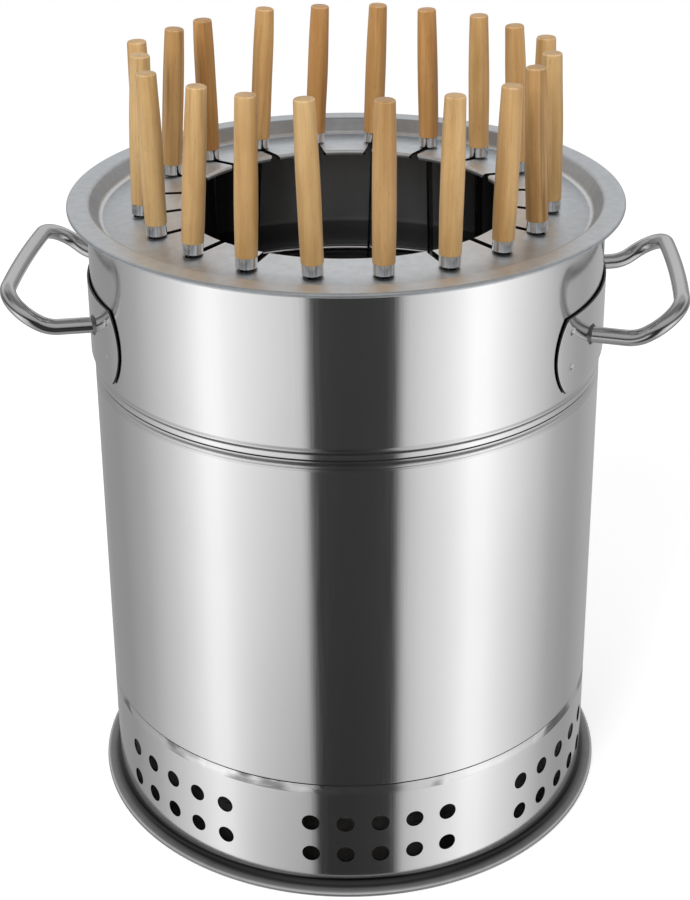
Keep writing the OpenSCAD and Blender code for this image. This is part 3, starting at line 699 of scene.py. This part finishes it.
def bracket(name, node_name, way):
    """Curved plate with bowed, thinned ends, dents of projection welds, and its edges and back painted dark
    as the shadow of its gap to the wall.
    """
    mesh = Mesh()
    # Painted shadow: the plate's edges and back take the near-black material, for the gap to the wall.
    dark = 1                                         # material tag
    half, middle = PLATE_W / 2, PLATE_TOP - PLATE_H / 2
    straight = half - PLATE_END_R
    dent_y = half - DENT_INSET
    bow = math.degrees(math.asin(PLATE_H / 2 / PLATE_END_R))
    shoulder_y = straight + PLATE_END_R * math.cos(math.radians(bow))
    round_dent = np.arange(-4, 4.01, 0.5)
    columns = set(np.linspace(-shoulder_y, shoulder_y, 71).round(3))
    for sign in (-1, 1):
        columns |= {round(sign * (straight + PLATE_END_R * math.cos(math.radians(bow * t / 24))), 3)
                    for t in range(25)}
        columns |= {round(sign * dent_y + d, 3) for d in round_dent}
    columns = sorted(columns)
    shares = set(np.linspace(0, 1, 21).round(4))
    for row in DENT_ROWS:
        shares |= {round((PLATE_H - row + d) / PLATE_H, 4) for d in round_dent}
    shares = sorted(shares)

    def layer(radius, inset, thin):
        rows = []
        for y in columns:
            over = max(abs(y) - straight, 0)
            tall = min(math.sqrt(max(PLATE_END_R ** 2 - over ** 2, 0)), PLATE_H / 2)
            away = max(abs(y) - THIN_FROM, 0) / (half - THIN_FROM)
            points = []
            for share in shares:
                z = middle + tall * (2 * share - 1)
                r = radius - thin * away ** 2
                for row in DENT_ROWS:
                    near = math.hypot(abs(y) - dent_y, z - (PLATE_TOP - row))
                    r -= DENT_DEPTH * max(1 - (near / DENT_R) ** 2, 0) ** 2
                py = y * (1 - inset / half)
                pz = z + min(inset, tall) * (1 - 2 * share)
                points.append((way * math.sqrt(r * r - py * py), way * py, pz))
            rows.append(mesh.add(points))
        return rows

    def outline(rows):
        return [row[0] for row in rows] + rows[-1][1:-1] + [row[-1] for row in rows[::-1]] + rows[0][-2:0:-1]

    outer = layer(PLATE_OUT_R, PLATE_BEVEL, THIN_FACE)
    rim = layer(PLATE_OUT_R - PLATE_BEVEL, 0.0, THIN_EDGE)
    inner = layer(PLATE_IN_R, 0.0, 0.0)
    for a, b in zip(outer, outer[1:]):
        mesh.bridge(a, b, closed=False)
    for a, b in zip(inner, inner[1:]):
        mesh.bridge(a, b, dark, closed=False)
    mesh.bridge(outline(outer), outline(rim), dark)
    mesh.bridge(outline(rim), outline(inner), dark)
    used = sorted({c for f in mesh.faces for c in f})
    renumber = {old: new for new, old in enumerate(used)}
    mesh.verts = [mesh.verts[c] for c in used]
    mesh.faces = [[renumber[c] for c in f] for f in mesh.faces]
    mesh.make(name, "barrel", [node_name], "polished_steel", [POLISHED, SHADE_EDGES])


bracket("right_bracket", "bracket_right", 1)
bracket("left_bracket", "bracket_left", -1)

wall_x = math.sqrt(PLATE_OUT_R ** 2 - LEG_HALF ** 2)
grip_x, knee_x = BODY_R + GRIP_OUT, BODY_R + KNEE_OUT
knee_y = LEG_HALF + (GRIP_HALF - LEG_HALF) * (knee_x - wall_x) / (grip_x - wall_x)
LEG_WALL = Vector((wall_x, -LEG_HALF, HANDLE_Z))
KNEE = Vector((knee_x, -knee_y, HANDLE_Z))
CORNER = Vector((grip_x, -GRIP_HALF, HANDLE_Z + GRIP_RISE))
LEG_DIR = (KNEE - LEG_WALL).normalized()


def elbow(at, u, w, bend, steps=16):
    """Points round a bend at a corner, from direction u into direction w."""
    angle = math.acos(u.dot(w))
    side = (w - u * u.dot(w)).normalized()
    centre = at - u * bend * math.tan(angle / 2) + side * bend
    return [centre - side * bend * math.cos(angle * i / steps) + u * bend * math.sin(angle * i / steps)
            for i in range(steps + 1)]


def loop_handle(name, node_name, way):
    """Round bar from one leg over two bends to a slightly bowed grip, and back the same way."""
    rise = (CORNER - KNEE).normalized()
    grip = Vector((0, 1, 0))
    trim = KNEE_BEND * math.tan(math.acos(LEG_DIR.dot(rise)) / 2)
    room = ((CORNER - KNEE).length - trim - 1) / math.tan(math.acos(rise.dot(grip)) / 2)
    half = ([LEG_WALL - LEG_DIR * LEG_SINK, LEG_WALL + LEG_DIR * LEG_STRAIGHT]
            + elbow(KNEE, LEG_DIR, rise, KNEE_BEND) + elbow(CORNER, rise, grip, min(CORNER_BEND, room)))
    end = half[-1]
    bowed = [Vector((end.x + GRIP_BOW * (1 - t * t), -end.y * t, end.z))
             for t in (i / 8 - 1 for i in range(1, 16))]
    path = half + bowed + [Vector((p.x, -p.y, p.z)) for p in half[::-1]]
    mesh = Mesh()
    mesh.sweep([(way * p.x, way * p.y, p.z) for p in path], BAR_R, BAR_STEPS)
    mesh.make(name, "barrel", [node_name], "polished_steel", [BARS])


loop_handle("right_loop", "handle_right", 1)
loop_handle("left_loop", "handle_left", -1)


def weld_beads():
    """Run of weld round each leg, laid on the plate's curve, with a small ripple."""
    mesh = Mesh()
    count, steps = 72, 8
    level, up = Vector((LEG_DIR.y, -LEG_DIR.x, 0)), Vector((0, 0, 1))
    for way in (1, -1):
        for mirror in (1, -1):
            rows = []
            for k in range(steps + 1):
                t = math.pi / 2 * k / steps
                row = []
                for j in range(count):
                    turn = 2 * math.pi * j / count
                    ripple = [h * math.sin(turn * n + start) for (h, n), start in zip(RIPPLES, (mirror, way))]
                    leg = FILLET + sum(ripple)
                    reach = BAR_R - WELD_BITE + (leg + WELD_BITE) * (1 - math.sin(t) ** WELD_ROUND)
                    at = LEG_WALL + (level * math.cos(turn) + up * math.sin(turn)) * reach
                    b = at.x * LEG_DIR.x + at.y * LEG_DIR.y
                    c = at.x ** 2 + at.y ** 2 - (PLATE_OUT_R - WELD_SINK) ** 2
                    at = at + LEG_DIR * (-b + math.sqrt(b * b - c) + leg * (1 - math.cos(t) ** WELD_ROUND))
                    row.append((way * at.x, way * mirror * at.y, at.z))
                rows.append(mesh.add(row))
            for low, high in zip(rows, rows[1:]):
                mesh.bridge(low, high)
            mesh.bridge(rows[-1], rows[0])
    mesh.make("weld_beads", "barrel", ["handle_welds"], "satin_steel", [WELDS], sharp=60.0)


weld_beads()


# ---------------------------------------------------------------- fire parts

def charcoal_basket():
    """Basket wall in cells, one round-ended slot in each, with a beaded rim and a closed floor."""
    mesh = Mesh()
    cell = 2 * math.pi / BASKET_SLOTS
    inner = BASKET_R - SHEET
    top = BASKET_H - BASKET_BEAD
    ends, sides = 8, 10                              # steps round half an end and along a side
    half_w = BASKET_SLOT_W / 2
    low, high = BASKET_SLOT_LOW + half_w, BASKET_H - BASKET_SLOT_HIGH - half_w
    half_turn = [math.pi * i / (2 * ends) for i in range(2 * ends)]
    outline = ([(half_w, low + (high - low) * i / sides) for i in range(sides)]
               + [(half_w * math.cos(a), high + half_w * math.sin(a)) for a in half_turn]
               + [(-half_w, high - (high - low) * i / sides) for i in range(sides)]
               + [(-half_w * math.cos(a), low - half_w * math.sin(a)) for a in half_turn])
    wide = cell / 2 * BASKET_R
    frame_low, frame_high = BASKET_SLOT_LOW - BASKET_MARGIN, BASKET_H - BASKET_SLOT_HIGH + BASKET_MARGIN
    border = ([(wide, low + (high - low) * i / sides) for i in range(sides)]
              + [(wide, high + (frame_high - high) * i / ends) for i in range(ends)]
              + [(wide - wide * i / ends, frame_high) for i in range(ends)]
              + [(-wide * i / ends, frame_high) for i in range(ends)]
              + [(-wide, frame_high - (frame_high - high) * i / ends) for i in range(ends)]
              + [(-wide, high - (high - low) * i / sides) for i in range(sides)]
              + [(-wide, low - (low - frame_low) * i / ends) for i in range(ends)]
              + [(-wide + wide * i / ends, frame_low) for i in range(ends)]
              + [(wide * i / ends, frame_low) for i in range(ends)]
              + [(wide, frame_low + (low - frame_low) * i / ends) for i in range(ends)])
    hole = ([outline[i] for i in range(sides)]
            + [outline[sides + i // 2] for i in range(4 * ends)]
            + [outline[sides + 2 * ends + i] for i in range(sides)]
            + [outline[2 * sides + 2 * ends + i // 2] for i in range(4 * ends)])
    for i in range(BASKET_SLOTS):
        middle = math.pi / 2 + cell * i
        rims = []
        for radius in (BASKET_R, inner):
            previous = mesh.add([polar(radius, middle + x / BASKET_R, BASKET_Z + z) for x, z in border])
            for share in (0.35, 0.7, 1.0):
                ring = mesh.add([polar(radius, middle + ((1 - share) * x + share * hx) / BASKET_R,
                                       BASKET_Z + (1 - share) * z + share * hz)
                                 for (x, z), (hx, hz) in zip(border, hole)])
                mesh.bridge(previous, ring)
                previous = ring
            rims.append(previous)
        mesh.bridge(*rims)
    turns = [math.pi / 2 + cell / 2 + cell * (i / (2 * ends)) for i in range(2 * ends * BASKET_SLOTS)]
    foot = [(inner, frame_low), (inner, SHEET), (0, SHEET), (0, 0), (BASKET_R - 1, 0), (BASKET_R, 1),
            (BASKET_R, frame_low)]
    mesh.revolve([(r, BASKET_Z + z) for r, z in foot], turns=turns, closed=False)
    bead_z = top - 1.9
    bead = ([(BASKET_R, frame_high), (BASKET_R, bead_z)] + arc(BASKET_R, top, BASKET_BEAD, -70, 215, 24)
            + [(inner, bead_z), (inner, frame_high)])
    mesh.revolve([(r, BASKET_Z + z) for r, z in bead], turns=turns, closed=False)
    mesh.make("fire_basket", "basket", ["charcoal_basket"], "dark_steel", [SOOTY])


charcoal_basket()

tray = Mesh()
tray_z = FLOOR_Z + SHEET
pan_foot = PAN_R - PAN_SLOPE
pan_in = pan_foot - SHEET
tray.revolve([(0, tray_z), (pan_foot - 1.5, tray_z), (pan_foot, tray_z + 1)]
             + [(r, tray_z + z) for r, z in arc(PAN_R, PAN_H - PAN_BEAD, PAN_BEAD, -80, 190, 20)]
             + [(pan_in, tray_z + SHEET + 0.6), (pan_in - 1.2, tray_z + SHEET), (0, tray_z + SHEET)],
             closed=False)
tray.make("ash_tray", "pan", ["ash_pan"], "satin_steel", [TRAYS])

closing = Mesh()
edge_r = INNER_R - FLOOR_GAP
edge_in, edge_z = edge_r - SHEET, tray_z - FLOOR_FLANGE
closing.revolve([(0, FLOOR_Z), (edge_in - 1, FLOOR_Z), (edge_in, FLOOR_Z - 1), (edge_in, edge_z),
                 (edge_r, edge_z)]
                + arc(edge_r - FLOOR_BEND, tray_z - FLOOR_BEND, FLOOR_BEND, 0, 90) + [(0, tray_z)],
                closed=False)
closing.make("floor_disc", "barrel", ["floor_plate"], "satin_steel", [TRAYS])

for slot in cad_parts["fire_grate"].material_slots:
    slot.material = SOOTY


# ---------------------------------------------------------------- skewers

def wood_radius(u, length):
    """Radius of a turned handle at a share u of its length: swelling to a belly, then tapering."""
    foot = FERRULE_R + WOOD_STEP
    belly = WOOD_BELLY / (length - WOOD_EDGE)
    if u < belly:
        return foot + (WOOD_D / 2 - foot) * math.sin(math.pi / 2 * u / belly)
    return WOOD_D / 2 - (WOOD_D - WOOD_END_D) / 2 * (1 - math.cos(math.pi / 2 * (u - belly) / (1 - belly)))


# Handles that are lighter, darker, redder or more streaked than the rest, by skewer number
USUAL_TONE = (0.03, 0.0, 0.2)
TONES = {1: (-0.10, -0.06, 0.2), 4: (0.0, -0.04, 0.75), 5: (0.08, 0.0, 0.6), 8: (0.20, 0.03, 0.3),
         9: (0.02, -0.04, 0.3), 11: (-0.05, -0.04, 0.35), 12: (0.18, 0.03, 0.3), 13: (-0.10, -0.08, 0.75),
         14: (0.06, -0.02, 0.55), 16: (0.08, 0.06, 0.4), 17: (0.12, 0.04, 0.2), 18: (0.10, 0.0, 0.3)}


def skewer(i):
    """Wood, ferrule and blade of one skewer, hung in its slot with its own lean, length and tone."""
    draw = random.Random(WAVE_SEED + i)
    name = f"{i:02d}"
    turn, lean = math.radians(RING_TURN + 360 * (i - 1) / SKEWERS), math.radians(LEAN[i - 1])
    seat = plate_at(SKEWER_R - FERRULE_R) + SEAT_GAP + FERRULE_R * math.sin(abs(lean))
    x, y, z = polar(SKEWER_R, turn, seat)
    place = (Matrix.Translation((x * MM, y * MM, z * MM)) @ Matrix.Rotation(lean, 4, "Y")
             @ Matrix.Rotation(turn - math.pi / 2, 4, "Z"))
    body = "skewer_" + name

    waves = [(draw.uniform(0.02, 0.07), draw.uniform(1, 4), draw.uniform(0, 6.3), draw.choice((0, 1, 2)))
             for _ in range(WAVES)]
    length = WOOD_LEN + WOOD_EXTRA[i - 1]
    side_len = length - WOOD_EDGE
    tenon = FERRULE_R - FERRULE_WALL - TENON_GAP
    profile = [(0, TANG_H + TANG_GAP), (tenon, TANG_H + TANG_GAP), (tenon, FERRULE_H)]
    profile += [(wood_radius(k / WOOD_ROWS, length), FERRULE_H + side_len * k / WOOD_ROWS)
                for k in range(WOOD_ROWS + 1)]
    profile += arc(WOOD_END_D / 2 - WOOD_EDGE, FERRULE_H + side_len, WOOD_EDGE, 10, 90, 8)
    profile += [(END_DISC_R, FERRULE_H + length), (0, FERRULE_H + length)]
    wood = Mesh()
    turns = [2 * math.pi * j / ROUND_STEPS for j in range(ROUND_STEPS)]
    wood.revolve(profile, turns=turns, closed=False)
    shaped = []
    for px, py, pz in wood.verts:
        up = max(pz - FERRULE_H - WAVE_FROM, 0) / length
        around = math.atan2(py, px)
        swell = sum(a * math.sin(f * math.pi * up + p + o * around) for a, f, p, o in waves)
        grow = 1 + swell * min(up * WAVE_RISE, 1) / WAVE_R
        shaped.append((px * grow, py * grow, pz))
    wood.verts = shaped
    # Painted shade: handles at the back get a deeper, more orange wood.
    back = max(0.0, -math.cos(turn))
    more, redder, streak = TONES.get(i, USUAL_TONE)
    tone = draw.uniform(-TONE_SPREAD, TONE_SPREAD) + BACK_SHADE_TONE * back + more
    red = draw.uniform(-RED_SPREAD, RED_SPREAD) - BACK_SHADE_RED * back + redder
    light, dark = ([c * (1 + tone + k * red) for k, c in enumerate(colour)]
                   for colour in (WOOD_LIGHT, WOOD_DARK))
    grainy = beech("beech_" + name, GRAIN_SEED + i, light, dark, streak)
    wood.make("wood_" + name, body, ["skewer_handle_" + name], "beech", [grainy], place=place, sharp=45.0)

    cup = Mesh()
    # Painted contact shadow: the ferrule's bottom and the lower part of its rounded edge take the near-black
    # material.
    bright, contact_shade = 0, 1                              # material tags
    cup_r = FERRULE_R - FERRULE_WALL
    edge = [(0, 0)] + arc(FERRULE_R - FERRULE_EDGE, FERRULE_EDGE, FERRULE_EDGE, -90, 0, 10)
    wall = [(FERRULE_R, FERRULE_H - 0.2), (FERRULE_R - 0.15, FERRULE_H), (cup_r, FERRULE_H),
            (cup_r, CUP_FLOOR), (0, CUP_FLOOR)]
    cup.revolve(edge + wall, [contact_shade] * (len(edge) - 3) + [bright] * (len(wall) + 2), turns=turns, closed=False)
    cup.make("ferrule_" + name, body, ["skewer_steel_" + name], "bright_steel", [CUPS, SHADE_EDGES], place=place)

    blade = Mesh()
    rows = []
    for at, share in ((TANG_H, 1.0), (0.0, 1.0), (BLADE_TIP - BLADE_LEN, 1.0),
                      (BLADE_TIP * 0.5 - BLADE_LEN, BLADE_HALFWAY), (-BLADE_LEN, BLADE_POINT)):
        w, t = BLADE_W / 2 * share, BLADE_T / 2 * min(1.0, share * 1.6)
        c = min(BLADE_EDGE, w * 0.4, t * 0.6)
        rows.append(blade.add([(w, -t + c, at), (w, t - c, at), (w - c, t, at), (c - w, t, at),
                               (-w, t - c, at), (-w, c - t, at), (c - w, -t, at), (w - c, -t, at)]))
    for low, high in zip(rows, rows[1:]):
        blade.bridge(low, high)
    blade.face(rows[0])
    blade.face(rows[-1])
    blade.make("blade_" + name, body, ["skewer_steel_" + name], "bright_steel", [BLADES], place=place,
               sharp=20.0)


for number in range(1, SKEWERS + 1):
    skewer(number)


# ---------------------------------------------------------------- stage and light

# What polished steel sees round the studio: azimuth in degrees from the front, and brightness
STUDIO = [(-180, .42), (-150, .33), (-128, .33), (-107, .46), (-86, .74), (-75, .95), (-66, 1.19),
          (-60, 1.21), (-53, 1.07), (-43, .93), (-33, .82), (-23, .73), (-19, .675), (-15.3, .05),
          (0, .045), (20.5, .05), (25, .62), (33, .79), (43, .94), (50, 1.08), (57, 1.25), (64, 1.22),
          (75, 1.0), (86, .82), (97, .66), (107, .50), (118, .42), (128, .39), (148, .45)]
STUDIO_TURN = 3.9
WHITE = (1, 1, 1, 1)
FLOOR_HALF, FLOOR_DROP = 8.0, 0.0004                 # in metres
# How much brighter it gets upwards, by azimuth
CLIMB = [(-180, .0), (-100, -.03), (-75, .05), (-45, .18), (-18, .20), (22, .05), (60, .08), (90, .08)]
# Brightness level with the object, above that and higher still: darker before it, light behind it
LEVEL = [(-180, .34), (-135, .34), (-108, .13), (-34, .13), (-17, .03), (0, .02), (20, .03),
         (38, .13), (108, .13), (135, .34)]
UPPER = [(-180, .70), (-135, .70), (-108, .50), (108, .50), (135, .70)]
HIGH = [(-180, .48), (-135, .48), (-108, .14), (-75, .14), (-35, .55), (35, .55), (75, .14), (108, .14),
        (135, .48)]


def plain_view(tree):
    """1 for what the camera sees, straight or through glass, or else 0."""
    rays = node(tree, "ShaderNodeLightPath").outputs
    return calc(tree, "MAXIMUM", rays["Is Camera Ray"], rays["Is Transmission Ray"])


def studio_world():
    """Soft white light, a white view for the camera, and the studio in what shines."""
    world = bpy.data.worlds.new("studio")
    bpy.context.scene.world = world
    world.use_nodes = True
    tree = world.node_tree
    tree.nodes.clear()
    x, y, height = xyz(tree, node(tree, "ShaderNodeTexCoord").outputs["Generated"])
    turn = calc(tree, "ARCTAN2", x, calc(tree, "MULTIPLY", y, -1.0))
    share = remap(tree, turn, -math.pi, math.pi)

    def round_ramp(levels):
        stops = sorted((((az + STUDIO_TURN + 180) / 360) % 1.0, grey(value)) for az, value in levels)
        return ramp(tree, share, [(0.0, stops[-1][1])] + stops + [(1.0, stops[-1][1])])

    climb = remap(tree, height, -0.70, -0.42, -2.3, 0.25)
    gain = calc(tree, "MULTIPLY_ADD", climb, round_ramp(CLIMB), 1.0)
    seen = dimmed(tree, round_ramp(STUDIO), gain)
    # From the ground up, what takes over between two heights of the ray
    for start, end, above in ((-0.80, -0.94, (*grey(0.40), 1)), (-0.30, -0.20, round_ramp(LEVEL)),
                              (0.05, 0.30, round_ramp(UPPER)), (0.53, 0.66, round_ramp(HIGH)),
                              (0.82, 0.94, (*grey(0.22), 1))):
        seen = blend(tree, remap(tree, height, start, end, interpolation_type="SMOOTHSTEP"), seen, above)
    reflected, soft, white = (
        node(tree, "ShaderNodeBackground", {"Color": colour, "Strength": strength}).outputs[0]
        for colour, strength in ((seen, 1.0), (WHITE, 0.62), (WHITE, 1.0)))
    glossy = node(tree, "ShaderNodeLightPath").outputs["Is Glossy Ray"]
    lit = node(tree, "ShaderNodeMixShader", {0: glossy, 1: soft, 2: reflected}).outputs[0]
    shown = node(tree, "ShaderNodeMixShader", {0: plain_view(tree), 1: lit, 2: white}).outputs[0]
    node(tree, "ShaderNodeOutputWorld", {"Surface": shown})


studio_world()


def floor():
    """White ground that keeps the shadow, a hair under the foot."""
    corners = [(x * FLOOR_HALF, y * FLOOR_HALF, -FLOOR_DROP) for x, y in ((-1, -1), (1, -1), (1, 1), (-1, 1))]
    mesh = bpy.data.meshes.new("studio_floor")
    mesh.from_pydata(corners, [], [(0, 1, 2, 3)])
    made, tree, shader = material("studio_floor")
    feed_all(tree, shader, {"Base Color": (*grey(0.80), 1), "Roughness": 0.9, "Specular IOR Level": 0.0,
                            "Emission Color": WHITE,
                            "Emission Strength": remap(tree, plain_view(tree), 0.0, 1.0, 0.0, 0.42)})
    mesh.materials.append(made)
    obj = bpy.data.objects.new("studio_floor", mesh)
    bpy.context.scene.collection.objects.link(obj)
    obj.visible_glossy = False


floor()


def softbox(name, place, aim, size, power):
    lamp = bpy.data.lights.new(name, "AREA")
    lamp.shape = "SQUARE"
    lamp.size = size
    lamp.energy = power
    obj = bpy.data.objects.new(name, lamp)
    bpy.context.scene.collection.objects.link(obj)
    obj.location = place
    obj.rotation_euler = (Vector(aim) - Vector(place)).to_track_quat("-Z", "Y").to_euler()
    obj.visible_glossy = False


softbox("key", (-1.3, -2.2, 2.4), (0, 0, 0.4), 1.8, 60.0)
softbox("fill", (2.0, -1.4, 1.6), (0, 0, 0.4), 1.8, 22.0)

bpy.context.scene.view_settings.view_transform = "Standard"
